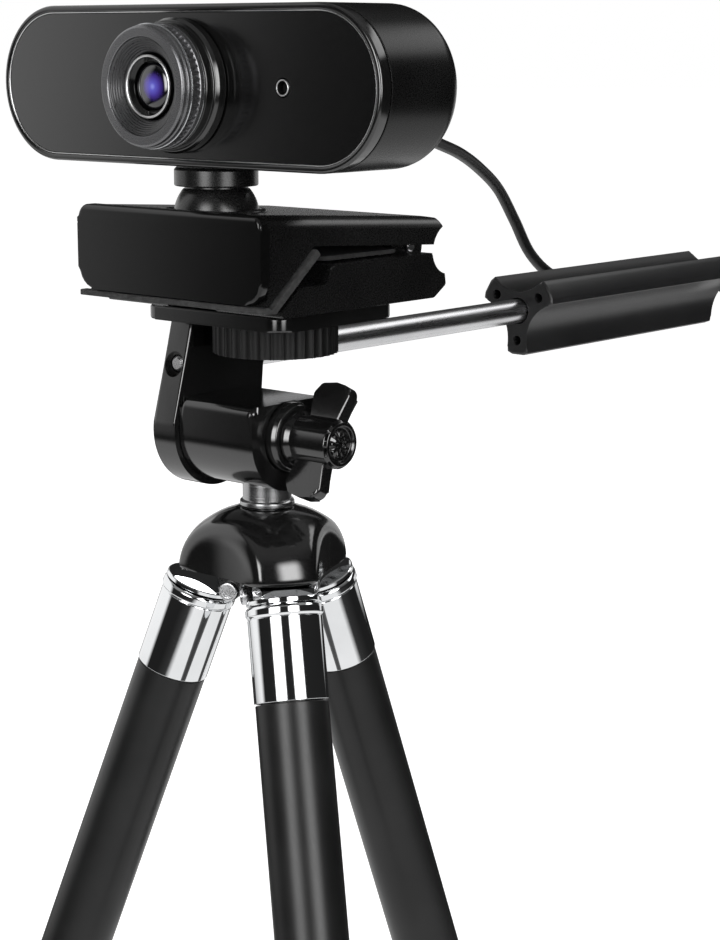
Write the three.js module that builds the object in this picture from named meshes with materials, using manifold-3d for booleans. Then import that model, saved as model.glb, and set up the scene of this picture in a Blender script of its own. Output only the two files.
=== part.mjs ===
// Webcam on a mini tripod: three folding telescopic legs, a pan and tilt head with a handle,
// a monitor clip screwed to the head's platform, and a webcam on a ball joint.
// Millimetres, +Z up. The parts are placed about the tripod's own axis, and the whole group is
// moved at the end so that the origin is at the centre of the footprint, on the floor.

import * as THREE from 'three';
import { mergeVertices } from 'three/addons/utils/BufferGeometryUtils.js';
import Module from 'manifold-3d';

const wasm = await Module();
wasm.setup();

// ---------------------------------------------------------------- driving dimensions

const GAP = 0.3; // between pieces that touch
const TURN_STEPS = 16; // sides of a turned piece

const SPLAY = THREE.MathUtils.degToRad(20); // leg against the vertical, legs open
const LEG_LENGTH = 172; // collar's top to the sole
const LEG_ROOT_R = 15.3; // collar's top centre from the tripod axis
const LEG_ROOT_DROP = 4.8; // collar's top centre below the crown's rim
const LEG_AZIMUTHS = [-34, -154, 86].map(THREE.MathUtils.degToRad);
const LEG_PIN_R = 6.8; // hinge pin from the tripod axis
const LEG_PIN_DROP = 4.2; // hinge pin below the crown's rim
const TUBE_R = 7.7; // upper leg tube
const COLLAR_R = 7.9;
const COLLAR_LENGTH = 20;
const TUBE_END = -150; // lower end of the upper tube, along the leg

const CROWN_Z = LEG_LENGTH * Math.cos(SPLAY) + LEG_ROOT_DROP; // crown's rim above the floor
const CROWN_R = 19.1;
const CROWN_TOP = 13.6; // heights below are above the crown's rim
const FACET_DISTANCE = 13.3; // hollowed faces between the legs
const FACET_R = 45;
const CAVITY_R = 11.8;

const NECK_R = 5.25;
const TILT_Z = 29.5; // tilt axis
const BLOCK_HALF_Y = 11.6;
const BLOCK_X = [-14.5, 6.8];
const BLOCK_TOP = 36.9;
const BOLT_R = 2.5;
const BOLT_BORE_R = 2.8;

const ARM_X = [-21.3, -14.8];
const ARM_MID_X = (ARM_X[0] + ARM_X[1]) / 2;
const ARM_END_R = 13.1;
const PLATE_X = [-21.3, 18.3];
const PLATE_Y = [-15.1, 21.2];
const PLATE_Z = [53.8, 56.8];
const SCREW_Y = 3; // camera screw, on x = 0
const SCREW_R = 3.1;

const ROD_Z = 43.6;
const ROD_R = 3.1;
const ROD_STUD_R = 1.7;
const GRIP_Y = [111, 205];
const GRIP_R = 11.3;

const CLIP_HALF_X = 25;
const CLIP_HINGE = { y: 30.2, z: 68.1 };
const BITE_R = 5.2; // hollow round the clip's hinge
const KNUCKLE_R = 4.6;
const LIP_WIDTH = 52.4;
const LIP_Z = [61.1, 78.6];

const BALL_Y = -14.2;
const BALL_Z = 76.5;
const BALL_R = 8.8;

const CAM_WIDTH = 106;
const CAM_HEIGHT = 31.8;
const CAM_Z = 102.8;
const CAM_FRONT = -24.6;
const CAM_REAR = 0.8;
const CORD_EXIT_Z = 98.2;
const MIC_X = 28;

const CORD_R = 1.5;
const COIL_CENTRE = { x: -8, y: 121 };
const COIL_MEAN_R = 18;
const COIL_HALF_WIDTH = 7.5; // five turns side by side
const COIL_HEIGHT = 6; // in two layers

// ---------------------------------------------------------------- materials

const finish = (color, roughness, metalness) => new THREE.MeshStandardMaterial({ color, roughness, metalness });
const GLOSS_BLACK = finish(0x0b0b0d, 0.12, 0);
const SATIN_BLACK = finish(0x141416, 0.4, 0);
const GRIP_GREY = finish(0x232427, 0.5, 0);
const TUBE_BLACK = finish(0x101012, 0.35, 0.3);
const CHROME = finish(0xd8dadc, 0.08, 1);
const STEEL = finish(0xb9bbbd, 0.22, 1);
const RUBBER = finish(0x1a1a1a, 0.85, 0);
const RING_GREY = finish(0x8d9093, 0.3, 0.8);
const BRASS = finish(0xb59a4d, 0.3, 1);
const GLASS = finish(0x1b1838, 0.03, 0);
const BOARD_GREEN = finish(0x1d5a34, 0.5, 0);

// ---------------------------------------------------------------- solids and booleans

// Turns an indexed closed mesh's faces outwards, whichever way round it was drawn.
function outward(geometry) {
  const at = geometry.attributes.position;
  const order = Array.from(geometry.index.array);
  const corners = [new THREE.Vector3(), new THREE.Vector3(), new THREE.Vector3()];
  let volume = 0;
  for (let i = 0; i < order.length; i += 3) {
    corners.forEach((corner, k) => corner.fromBufferAttribute(at, order[i + k]));
    volume += corners[0].dot(corners[1].cross(corners[2]));
  }
  if (volume > 0) return geometry;
  geometry.setIndex(order.reverse());
  geometry.computeVertexNormals();
  return geometry;
}

// The same surface as one closed mesh with shared vertices.
function weld(geometry) {
  const bare = geometry.clone();
  bare.deleteAttribute('normal');
  bare.deleteAttribute('uv');
  const merged = mergeVertices(bare, 1e-4);
  const old = merged.index.array;
  const kept = [];
  for (let i = 0; i < old.length; i += 3) {
    const [p, q, r] = [old[i], old[i + 1], old[i + 2]];
    if (p !== q && q !== r && r !== p) kept.push(p, q, r);
  }
  merged.setIndex(kept);
  return outward(merged);
}

function toSolid(geometry) {
  const welded = weld(geometry);
  return new wasm.Manifold(new wasm.Mesh({
    numProp: 3,
    vertProperties: Float32Array.from(welded.attributes.position.array),
    triVerts: Uint32Array.from(welded.index.array),
  }));
}

function toGeometry(solid) {
  const mesh = solid.getMesh();
  const geometry = new THREE.BufferGeometry();
  geometry.setAttribute('position', new THREE.BufferAttribute(Float32Array.from(mesh.vertProperties), 3));
  geometry.setIndex(Array.from(mesh.triVerts));
  geometry.computeVertexNormals();
  return geometry;
}

function join(...pieces) {
  return toGeometry(pieces.map(toSolid).reduce((sum, piece) => sum.add(piece)));
}

function cut(base, ...tools) {
  return toGeometry(tools.map(toSolid).reduce((rest, tool) => rest.subtract(tool), toSolid(base)));
}

// ---------------------------------------------------------------- shapes

const X = new THREE.Vector3(1, 0, 0);
const Y = new THREE.Vector3(0, 1, 0);
const Z = new THREE.Vector3(0, 0, 1);

// A closed outline through [a, b, radius] corners, with rounded corners where a radius is given.
function outline(corners) {
  const shape = new THREE.Shape();
  corners.forEach(([a, b, radius = 0], i) => {
    const here = new THREE.Vector2(a, b);
    const before = new THREE.Vector2(...corners.at(i - 1).slice(0, 2));
    const after = new THREE.Vector2(...corners[(i + 1) % corners.length].slice(0, 2));
    const start = here.clone().add(before.sub(here).setLength(radius));
    const end = here.clone().add(after.sub(here).setLength(radius));
    if (i === 0) shape.moveTo(start.x, start.y);
    else shape.lineTo(start.x, start.y);
    if (radius > 0) shape.quadraticCurveTo(here.x, here.y, end.x, end.y);
  });
  shape.closePath();
  return shape;
}

function boxOutline(a0, a1, b0, b1, radius = 0) {
  return outline([[a0, b0, radius], [a1, b0, radius], [a1, b1, radius], [a0, b1, radius]]);
}

function pillOutline(inset) {
  const r = CAM_HEIGHT / 2 - inset;
  const reach = (CAM_WIDTH - CAM_HEIGHT) / 2;
  const shape = new THREE.Shape();
  shape.absarc(reach, CAM_Z, r, -Math.PI / 2, Math.PI / 2, false);
  shape.absarc(-reach, CAM_Z, r, Math.PI / 2, Math.PI * 1.5, false);
  shape.closePath();
  return shape;
}

// Extrudes an outline from low to high along an axis, with rounded end edges.
// The outline's two coordinates are (x, y) for axis z, (y, z) for axis x and (x, z) for axis y.
function prism(shape, axis, low, high, edge = 0, curveSegments = 4) {
  const geometry = new THREE.ExtrudeGeometry(shape, {
    depth: high - low - 2 * edge,
    bevelEnabled: edge > 0,
    bevelThickness: edge,
    bevelSize: edge,
    bevelOffset: -edge,
    bevelSegments: edge > 2 ? 3 : 1,
    curveSegments,
  });
  geometry.translate(0, 0, edge);
  const frame = new THREE.Matrix4();
  if (axis === 'x') frame.makeBasis(Y, Z, X).setPosition(low, 0, 0);
  else if (axis === 'y') frame.makeBasis(X, Z, Y.clone().negate()).setPosition(0, high, 0);
  else frame.setPosition(0, 0, low);
  return geometry.applyMatrix4(frame);
}

// Turns a [radius, height] profile about an axis through (u, v), the other two coordinates.
function turned(profile, axis = 'z', u = 0, v = 0, steps = TURN_STEPS) {
  const geometry = new THREE.LatheGeometry(profile.map(([r, h]) => new THREE.Vector2(r, h)), steps);
  if (axis === 'x') geometry.rotateZ(-Math.PI / 2).translate(0, u, v);
  else if (axis === 'y') geometry.translate(u, 0, v);
  else geometry.rotateX(Math.PI / 2).translate(u, v, 0);
  return outward(geometry);
}

function rod(radius, axis, u, v, low, high, steps = TURN_STEPS) {
  return turned([[0, low], [radius, low], [radius, high], [0, high]], axis, u, v, steps);
}

// A profile that is a ring closes on itself.
const ring = (profile) => [...profile, profile[0]];

// ---------------------------------------------------------------- the scene graph

const assembly = new THREE.Group();
const tripod = new THREE.Group(); // origin on the tripod axis, at the crown's rim
tripod.position.z = CROWN_Z;
assembly.add(tripod);

function place(name, geometry, material, parent = tripod) {
  const mesh = new THREE.Mesh(geometry, material);
  mesh.name = name;
  parent.add(mesh);
  return mesh;
}

// ---------------------------------------------------------------- crown

function crownShell() {
  const dome = turned(ring([
    [4.3, CROWN_TOP], [6.4, CROWN_TOP], [9.7, 12.5], [12, 11.3], [14.2, 9.8], [16, 8.1], [17.5, 6],
    [18.6, 3.4], [CROWN_R, 0.9], [18.7, 0], [CAVITY_R, 0], [CAVITY_R, 8.2], [4.3, 8.2],
  ]), 'z', 0, 0, 30);
  const hollows = LEG_AZIMUTHS.map((azimuth) => {
    const between = azimuth + Math.PI / 3;
    const distance = FACET_DISTANCE + FACET_R;
    return rod(FACET_R, 'z', distance * Math.cos(between), distance * Math.sin(between), -2, 20, 60);
  });
  return cut(dome, ...hollows);
}

function crownCore() {
  const parts = [rod(CAVITY_R - GAP, 'z', 0, 0, GAP, 3.2)];
  const bores = [];
  const ear = outline([[4, 0.6], [9.3, 0.6], [8.9, -6.3, 2], [4.7, -6.3, 2]]);
  for (const azimuth of LEG_AZIMUTHS) {
    for (const [low, high] of [[-6.2, -4.4], [4.4, 6.2]]) {
      parts.push(prism(ear, 'y', low, high).rotateZ(azimuth));
    }
    bores.push(rod(1.55, 'y', LEG_PIN_R, -LEG_PIN_DROP, -8, 8, 12).rotateZ(azimuth));
  }
  return cut(join(...parts), ...bores);
}

function legPin(azimuth) {
  const profile = [[0, -7.3], [2, -7.3], [2, -6.5], [1.25, -6.5], [1.25, 6.5], [2, 6.5], [2, 7.3], [0, 7.3]];
  return turned(profile, 'y', LEG_PIN_R, -LEG_PIN_DROP, 12).rotateZ(azimuth);
}

place('crown_shell', crownShell(), GLOSS_BLACK);
place('crown_core', crownCore(), SATIN_BLACK);
LEG_AZIMUTHS.forEach((azimuth, i) => place(`leg_pin_${i + 1}`, legPin(azimuth), CHROME));

// ---------------------------------------------------------------- legs

// Leg pieces are turned about the leg's own axis: 0 at the collar's top, negative towards the foot.
const legFrame = new THREE.Matrix4().makeRotationY(-SPLAY).setPosition(LEG_ROOT_R, 0, -LEG_ROOT_DROP);

// Chrome end piece: a disc and spigot in the tube, a wedge that stops against the crown's rim and
// a knuckle on the hinge pin. It is drawn in the plane of the crown's radius.
function legCap() {
  const plug = turned([[0, -7], [5.2, -7], [5.2, GAP], [COLLAR_R, GAP], [COLLAR_R, 1.4], [0, 1.4]]);
  plug.applyMatrix4(legFrame);
  const wedge = prism(outline([[9.9, -5.9], [19.2, -2.5], [19.2, -GAP], [9.9, -GAP]]), 'y', -5.6, 5.6, 0.3);
  const bridge = prism(outline([[6.8, -6.4], [10.5, -5.8], [10.5, -0.9], [6.8, -2]]), 'y', -4.1, 4.1);
  const knuckle = rod(2.3, 'y', LEG_PIN_R, -LEG_PIN_DROP, -4.1, 4.1);
  const bore = rod(1.55, 'y', LEG_PIN_R, -LEG_PIN_DROP, -8, 8, 12);
  return cut(join(plug, wedge, bridge, knuckle), bore);
}

const legCollar = () => turned(ring([
  [6.9, -COLLAR_LENGTH], [COLLAR_R, -COLLAR_LENGTH], [COLLAR_R, -1.9], [8.2, -1.5], [8.2, -0.4], [7.8, 0], [6.9, 0],
]), 'z', 0, 0, 20);

const legTube = () => turned(ring([
  [5.6, -1.5], [6.6, -1.5], [6.6, -COLLAR_LENGTH - GAP], [TUBE_R, -COLLAR_LENGTH - GAP], [TUBE_R, TUBE_END],
  [6.55, TUBE_END], [6.55, -22], [5.6, -22],
]), 'z', 0, 0, 20);

const legBush = () => turned(ring([
  [6.5, TUBE_END - GAP], [7.9, TUBE_END - GAP], [8, -151], [8, -156.5], [7.4, -157.5], [6.5, -157.5],
]));

const midTube = () => turned(ring([
  [5.2, -30], [6.2, -30], [6.2, -157.8], [7.2, -157.8], [7.2, -161.2], [5.2, -161.2],
]));

const lowTube = () => turned([[0, -167.5], [4.9, -167.5], [4.9, -42], [4.1, -42], [4.1, -166.5], [0, -166.5]]);

// Rubber foot, cut flat where it meets the floor.
function legFoot() {
  const boot = turned([[0, -178], [5, -177], [8.3, -173.5], [8.8, -169], [8.2, -164], [6.6, -161.5], [5.2, -161.5],
    [5.2, -167.8], [0, -167.8]]);
  const ground = new THREE.BoxGeometry(60, 60, 20).translate(0, 0, -10).rotateY(SPLAY).translate(0, 0, -LEG_LENGTH);
  return cut(boot, ground);
}

LEG_AZIMUTHS.forEach((azimuth, i) => {
  const radial = new THREE.Group();
  radial.rotation.z = azimuth;
  tripod.add(radial);
  const leg = new THREE.Group();
  leg.position.set(LEG_ROOT_R, 0, -LEG_ROOT_DROP);
  leg.rotation.y = -SPLAY;
  radial.add(leg);
  const n = i + 1;
  place(`leg_cap_${n}`, legCap(), CHROME, radial);
  place(`leg_collar_${n}`, legCollar(), CHROME, leg);
  place(`leg_tube_${n}`, legTube(), TUBE_BLACK, leg);
  place(`leg_bush_${n}`, legBush(), SATIN_BLACK, leg);
  place(`mid_tube_${n}`, midTube(), STEEL, leg);
  place(`low_tube_${n}`, lowTube(), STEEL, leg);
  place(`leg_foot_${n}`, legFoot(), RUBBER, leg);
});

// ---------------------------------------------------------------- pan and tilt head

function neckColumn() {
  return turned([[0, 4.2], [4, 4.2], [4, 13.9], [5.7, 13.9], [5.9, 14.3], [5.9, 14.9], [5.7, 15.3], [NECK_R, 15.5],
    [NECK_R, 25.7], [0, 25.7]], 'z', 0, 0, 20);
}

function tiltBlock() {
  const side = new THREE.Shape();
  side.moveTo(BLOCK_HALF_Y, TILT_Z);
  side.absarc(0, TILT_Z, BLOCK_HALF_Y, 0, Math.PI, true);
  side.lineTo(-BLOCK_HALF_Y, BLOCK_TOP - 2);
  side.quadraticCurveTo(-BLOCK_HALF_Y, BLOCK_TOP, -BLOCK_HALF_Y + 2, BLOCK_TOP);
  side.lineTo(BLOCK_HALF_Y - 2, BLOCK_TOP);
  side.quadraticCurveTo(BLOCK_HALF_Y, BLOCK_TOP, BLOCK_HALF_Y, BLOCK_TOP - 2);
  side.closePath();
  return cut(
    prism(side, 'x', ...BLOCK_X, 0.9, 9),
    rod(BOLT_BORE_R, 'x', 0, TILT_Z, -30, 30),
    rod(NECK_R + GAP, 'z', 0, 0, 0, 26),
    rod(7.8, 'x', 0, TILT_Z, BLOCK_X[1] - 1, 30, 24),
  );
}

const knobWasher = () => turned(ring([
  [BOLT_BORE_R, 6.1], [7.1, 6.1], [7.4, 6.6], [7.4, 8.2], [6.9, 9.2], [BOLT_BORE_R, 9.2],
]), 'x', 0, TILT_Z, 20);

// Wing knob: a boss with a blind bore and two wings, turned a little off the upright.
function lockKnob() {
  const boss = turned([[0, 18.5], [BOLT_BORE_R, 18.5], [BOLT_BORE_R, 9.5], [5.9, 9.5], [5.6, 10.5], [4.9, 11.2],
    [4.9, 20.6], [4.3, 21.5], [3.6, 21.5], [3.4, 21], [0, 21]], 'x', 0, 0);
  const blade = outline([[11.6, 3.6], [19.2, 3.6], [20.6, 12, 1.8], [13.4, 12.4, 1], [11.5, 10.6, 1]]);
  const wings = [0, Math.PI].map((turn) => prism(blade, 'y', -1.6, 1.6, 0.7).rotateX(turn - 0.47));
  return join(boss, ...wings).translate(0, 0, TILT_Z);
}

const tiltBolt = () => turned([
  [0, -21], [3.8, -21], [4.4, -20.4], [4.4, -19.2], [BOLT_R, -19.2], [BOLT_R, 18.2], [0, 18.2],
], 'x', 0, TILT_Z);

// Arm beside the block and the platform over it, in one piece.
function tiltBracket() {
  const side = new THREE.Shape();
  side.moveTo(-6.6, PLATE_Z[0] + 1);
  side.absarc(0.2, TILT_Z, ARM_END_R, Math.PI - 0.15, 0.15, false);
  side.lineTo(16.4, PLATE_Z[0] + 1);
  side.closePath();
  const plate = prism(boxOutline(...PLATE_X, ...PLATE_Y, 3.5), 'z', ...PLATE_Z, 0.5);
  return cut(
    join(prism(side, 'x', ...ARM_X, 0.7, 9), plate),
    rod(SCREW_R + 0.5, 'z', 0, SCREW_Y, 40, 70),
    rod(BOLT_BORE_R, 'x', 0, TILT_Z, -30, 0),
    rod(4.7, 'x', 0, TILT_Z, -30, -18.9),
    rod(ROD_STUD_R + GAP, 'y', ARM_MID_X, ROD_Z, -30, 30, 12),
    rod(2.7, 'y', ARM_MID_X, ROD_Z, -30, -8.4, 12),
  );
}

function platformPad() {
  const sheet = boxOutline(PLATE_X[0] + 2, PLATE_X[1] - 2, PLATE_Y[0] + 2, PLATE_Y[1] - 2, 3);
  return cut(prism(sheet, 'z', PLATE_Z[1] + GAP, 57.8), rod(4.2, 'z', 0, SCREW_Y, 40, 70));
}

place('neck_column', neckColumn(), STEEL);
place('tilt_block', tiltBlock(), GLOSS_BLACK);
place('knob_washer', knobWasher(), GLOSS_BLACK);
place('lock_knob', lockKnob(), GLOSS_BLACK);
place('tilt_bolt', tiltBolt(), STEEL);
place('tilt_bracket', tiltBracket(), GLOSS_BLACK);
place('platform_pad', platformPad(), RUBBER);

// ---------------------------------------------------------------- handle

const handleRod = () => turned([
  [0, -8.9], [1.3, -8.9], [ROD_STUD_R, -8.5], [ROD_STUD_R, 15.4], [2.7, 15.4], [ROD_R, 15.8], [ROD_R, 150], [0, 150],
], 'y', ARM_MID_X, ROD_Z);

// Three-lobed grip: flat-ended lobes at 30, 150 and 270 degrees with hollow flanks between them.
function handleGrip() {
  const lobeHalf = 0.3;
  const point = (angle, radius) => [ARM_MID_X + radius * Math.cos(angle), ROD_Z + radius * Math.sin(angle)];
  const section = new THREE.Shape();
  const holes = [];
  for (let i = 0; i < 3; i += 1) {
    const lobe = (i * 2 * Math.PI) / 3 + Math.PI / 6;
    const first = point(lobe - lobeHalf, GRIP_R);
    if (i === 0) section.moveTo(...first);
    section.lineTo(...point(lobe - lobeHalf + 0.12, GRIP_R + 0.2));
    section.lineTo(...point(lobe + lobeHalf - 0.12, GRIP_R + 0.2));
    section.lineTo(...point(lobe + lobeHalf, GRIP_R));
    const next = lobe + (2 * Math.PI) / 3;
    section.quadraticCurveTo(...point(lobe + Math.PI / 3, 1.5), ...point(next - lobeHalf, GRIP_R));
    holes.push(rod(0.9, 'y', ...point(lobe, 7.6), GRIP_Y[0] - 5, GRIP_Y[0] + 14, 8));
  }
  const bore = rod(ROD_R + GAP, 'y', ARM_MID_X, ROD_Z, GRIP_Y[0] - 5, 150.4);
  return cut(prism(section, 'y', ...GRIP_Y, 0.9, 6), bore, ...holes);
}

place('handle_rod', handleRod(), STEEL);
place('handle_grip', handleGrip(), GRIP_GREY);

// ---------------------------------------------------------------- camera screw under the platform

function mountWheel() {
  const rim = new THREE.Shape();
  const steps = 72;
  for (let i = 0; i <= steps; i += 1) {
    const angle = (i / steps) * 2 * Math.PI;
    const r = 13.05 + 0.35 * Math.cos(angle * 18);
    if (i === 0) rim.moveTo(r, SCREW_Y);
    else rim.lineTo(r * Math.cos(angle), SCREW_Y + r * Math.sin(angle));
  }
  return cut(prism(rim, 'z', 46.7, 53.4), rod(SCREW_R + GAP, 'z', 0, SCREW_Y, 40, 60));
}

const mountScrew = () => turned([
  [0, 46], [2.6, 46], [SCREW_R, 46.5], [SCREW_R, 64], [2.5, 64.8], [0, 64.8],
], 'z', 0, SCREW_Y);

place('mount_wheel', mountWheel(), SATIN_BLACK);
place('mount_screw', mountScrew(), STEEL);

// ---------------------------------------------------------------- monitor clip

const clipPinBore = () => rod(1.5, 'x', CLIP_HINGE.y, CLIP_HINGE.z, -40, 40, 12);
const knuckle = (low, high) => rod(KNUCKLE_R, 'x', CLIP_HINGE.y, CLIP_HINGE.z, low, high, 20);
const bite = (shape, from, to) => {
  shape.absarc(CLIP_HINGE.y, CLIP_HINGE.z, BITE_R, THREE.MathUtils.degToRad(from), THREE.MathUtils.degToRad(to), false);
};

function clipJaw() {
  const side = new THREE.Shape();
  side.moveTo(-20.6, 58.1);
  side.quadraticCurveTo(-22.2, 58.6, -21.2, 59.7);
  side.lineTo(-16.8, 63.3);
  side.quadraticCurveTo(-16.3, 63.6, -15.6, 63.6);
  side.lineTo(-9.6, 63.8);
  side.quadraticCurveTo(-8, 63.8, -7.6, 65.6);
  side.quadraticCurveTo(-7.3, 67.3, -6, 67.4);
  side.lineTo(25, 67.6);
  bite(side, 185.5, 262);
  side.quadraticCurveTo(30.4, 61, 25, 58.1);
  side.closePath();
  const web = prism(boxOutline(24, CLIP_HINGE.y, 63, CLIP_HINGE.z), 'x', -6.7, 6.7);
  return cut(
    join(prism(side, 'x', -CLIP_HALF_X, CLIP_HALF_X, 0.5, 6), web, knuckle(-6.7, 6.7)),
    prism(boxOutline(-7, 7, -40, -14, 0), 'z', 50, 70),
    rod(5.5, 'z', 0, SCREW_Y, 50, 66),
    clipPinBore(),
  );
}

const jawPad = () => prism(boxOutline(-21, 21, -5, 18.5, 1.5), 'z', 67.9, 68.8);

const threadInsert = () => turned(ring([
  [SCREW_R + GAP, 58.4], [5.2, 58.4], [5.2, 65.4], [SCREW_R + GAP, 65.4],
]), 'z', 0, SCREW_Y);

const clipPin = () => turned([
  [0, -14.9], [1.2, -14.9], [1.2, 14.9], [0, 14.9],
], 'x', CLIP_HINGE.y, CLIP_HINGE.z, 12);

// Upper plate with the sloping hook under its front edge.
function clipPlate() {
  const side = new THREE.Shape();
  side.moveTo(-25.9, 60.7);
  side.lineTo(-12.4, 71.7);
  const start = THREE.MathUtils.degToRad(165.5);
  side.absarc(CLIP_HINGE.y, CLIP_HINGE.z, BITE_R, start, THREE.MathUtils.degToRad(110), true);
  side.lineTo(27.7, 74.8);
  side.lineTo(24.6, 75.3);
  side.lineTo(-24.4, 78.4);
  side.quadraticCurveTo(-25.9, 78.5, -25.9, 77);
  side.closePath();
  const webs = [[-14, -7], [7, 14]].map(([low, high]) => (
    prism(boxOutline(24.5, CLIP_HINGE.y, CLIP_HINGE.z, 73), 'x', low, high)
  ));
  return cut(
    join(prism(side, 'x', -25.2, 25.2, 0.6, 3), ...webs, knuckle(-14, -7), knuckle(7, 14)),
    rod(10.5, 'z', 0, BALL_Y, 72.5, 90, 28),
    clipPinBore(),
  );
}

const clipLip = () => prism(outline([
  [-LIP_WIDTH / 2, LIP_Z[0], 5], [LIP_WIDTH / 2, LIP_Z[0], 5], [LIP_WIDTH / 2, LIP_Z[1], 3], [-LIP_WIDTH / 2, LIP_Z[1], 3],
]), 'y', -28.8, -26.2, 1);

const lipPad = () => prism(outline([
  [-28.4, 59.6, 0.4], [-24.5, 59.4], [-11.6, 70], [-12.55, 71.2], [-25.9, 60.3], [-26.4, 60.8], [-28.4, 60.8],
]), 'x', -26.3, 26.3);

const swivelSeat = () => turned(ring([
  [8.31, 72.8], [10.2, 72.8], [10.2, 77.7], [9.9, 78], [8.98, 78], [9.1, BALL_Z], [8.85, 74.4],
]), 'z', 0, BALL_Y, 20);

place('clip_jaw', clipJaw(), SATIN_BLACK);
place('jaw_pad', jawPad(), RUBBER);
place('thread_insert', threadInsert(), BRASS);
place('clip_pin', clipPin(), STEEL);
place('clip_plate', clipPlate(), SATIN_BLACK);
place('clip_lip', clipLip(), GLOSS_BLACK);
place('lip_pad', lipPad(), RUBBER);
place('swivel_seat', swivelSeat(), SATIN_BLACK);

// ---------------------------------------------------------------- webcam

// Ball with the neck and collar that carry the webcam.
function ballStem() {
  const profile = [[0, BALL_Z - 0.5]];
  for (let dz = -0.5; dz <= 5.5; dz += 1.5) {
    profile.push([Math.sqrt(BALL_R ** 2 - dz ** 2), BALL_Z + dz]);
  }
  profile.push([6.5, 82.2], [6.5, 82.7], [8.6, 82.7], [8.6, 86], [8.1, 86.5], [0, 86.5]);
  return turned(profile, 'z', 0, BALL_Y, 20);
}

function rearShell() {
  const body = prism(pillOutline(0), 'y', CAM_FRONT - 7, CAM_REAR, 5, 8);
  return cut(
    body,
    prism(boxOutline(-60, 60, 80, 125), 'y', -40, -21.5),
    prism(pillOutline(2.4), 'y', -40, -2.2, 0, 6),
    rod(2.4, 'y', 0, CORD_EXIT_Z, -5, 5),
  );
}

const frontBezel = () => cut(
  prism(pillOutline(0), 'y', CAM_FRONT, -21.8, 0.6, 8),
  prism(pillOutline(1.3), 'y', -30, -20, 0, 8),
);

const facePanel = () => cut(
  prism(pillOutline(1.6), 'y', -24.2, -21.8, 0, 8),
  rod(8.3, 'y', 0, CAM_Z, -30, -20),
  rod(1.9, 'y', MIC_X, CAM_Z, -30, -20, 12),
);

const lensBase = () => turned(ring([
  [7.2, -16.5], [8, -16.5], [8, -24.5], [13.3, -24.5], [13.3, -26.4], [12.9, -27], [12.3, -27], [12.3, -28.9],
  [7.2, -28.9],
]), 'y', 0, CAM_Z, 24);

const focusRing = () => turned(ring([
  [12.2, -29.2], [12.2, -31.2], [11.9, -31.4], [11.9, -33.2], [11.7, -33.4], [11.7, -34.3], [11.3, -34.7],
  [9.4, -34.7], [9, -34.4], [6.5, -32], [6.5, -29.2],
]), 'y', 0, CAM_Z, 24);

const lensCell = () => turned(ring([
  [3.6, -17.2], [6.2, -17.2], [6.2, -32.9], [5.6, -33.2], [5, -32.9], [5, -30.4], [3.6, -30.4],
]), 'y', 0, CAM_Z);

const lensGlass = () => turned([
  [0, -30.7], [4.6, -30.7], [4.6, -31.2], [3.6, -31.9], [2, -32.35], [0, -32.5],
], 'y', 0, CAM_Z);

const circuitBoard = () => prism(boxOutline(-44, 44, CAM_Z - 10, CAM_Z + 10, 2), 'y', -16, -14.4);
const imageSensor = () => prism(boxOutline(-4, 4, CAM_Z - 4, CAM_Z + 4), 'y', -16.9, -16.3);
const micRing = () => turned(ring([[0.9, -22.8], [1.6, -22.8], [1.6, -24.5], [0.9, -24.5]]), 'y', MIC_X, CAM_Z, 12);

const strainRelief = () => turned([
  [0, -4.5], [3.6, -4.5], [3.6, -2.5], [2.1, -2.5], [2.1, 1.1], [3.2, 1.1], [3.2, 2.6], [2, 13.5], [0, 13.5],
], 'y', 0, CORD_EXIT_Z);

place('ball_stem', ballStem(), GLOSS_BLACK);
place('rear_shell', rearShell(), SATIN_BLACK);
place('front_bezel', frontBezel(), GLOSS_BLACK);
place('face_panel', facePanel(), GLOSS_BLACK);
place('lens_base', lensBase(), GLOSS_BLACK);
place('focus_ring', focusRing(), RING_GREY);
place('lens_cell', lensCell(), RING_GREY);
place('lens_glass', lensGlass(), GLASS);
place('circuit_board', circuitBoard(), BOARD_GREEN);
place('image_sensor', imageSensor(), SATIN_BLACK);
place('mic_ring', micRing(), RING_GREY);
place('strain_relief', strainRelief(), RUBBER);

// ---------------------------------------------------------------- cord, on the floor's own heights

// The lead leaves the webcam's back, runs along behind the grip and hangs from its end down to the floor.
const LEAD_ROUTE = [
  [0, 13.8, 264.6], [-1.2, 24, 264.4], [-4.2, 36, 263.5], [-9, 50, 261.5], [-14.5, 64, 258.5],
  [-19.7, 78.7, 254.6], [-24, 95.8, 250.4], [-27, 107.8, 246], [-29.6, 119, 240.2], [-31.4, 128.5, 231.5],
  [-32.3, 137, 222], [-32.4, 147, 215.5], [-32.4, 160, 212.6], [-32.4, 175, 212], [-32.4, 190, 212],
  [-32.3, 203, 211.9], [-29.5, 211, 211], [-23, 216, 208], [-15.5, 218, 202], [-11, 218.4, 193],
  [-9.5, 218.4, 180], [-9, 218.2, 150], [-9, 218, 110], [-9, 217.6, 70], [-8.8, 216.5, 38], [-7.6, 213, 18],
  [-4.6, 206, 6.5], [0.5, 195, 2.4], [6, 182, 1.6], [12, 166, 1.6], [17, 150, 1.6], [19.3, 137, 1.6],
  [19.5, 126, 1.6],
];

function cordLead() {
  const curve = new THREE.CatmullRomCurve3(LEAD_ROUTE.map((point) => new THREE.Vector3(...point)), false, 'centripetal');
  const section = new THREE.Shape().absarc(0, 0, CORD_R, 0, Math.PI * 2, false);
  return new THREE.ExtrudeGeometry(section, { steps: 68, bevelEnabled: false, extrudePath: curve, curveSegments: 4 });
}

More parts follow.
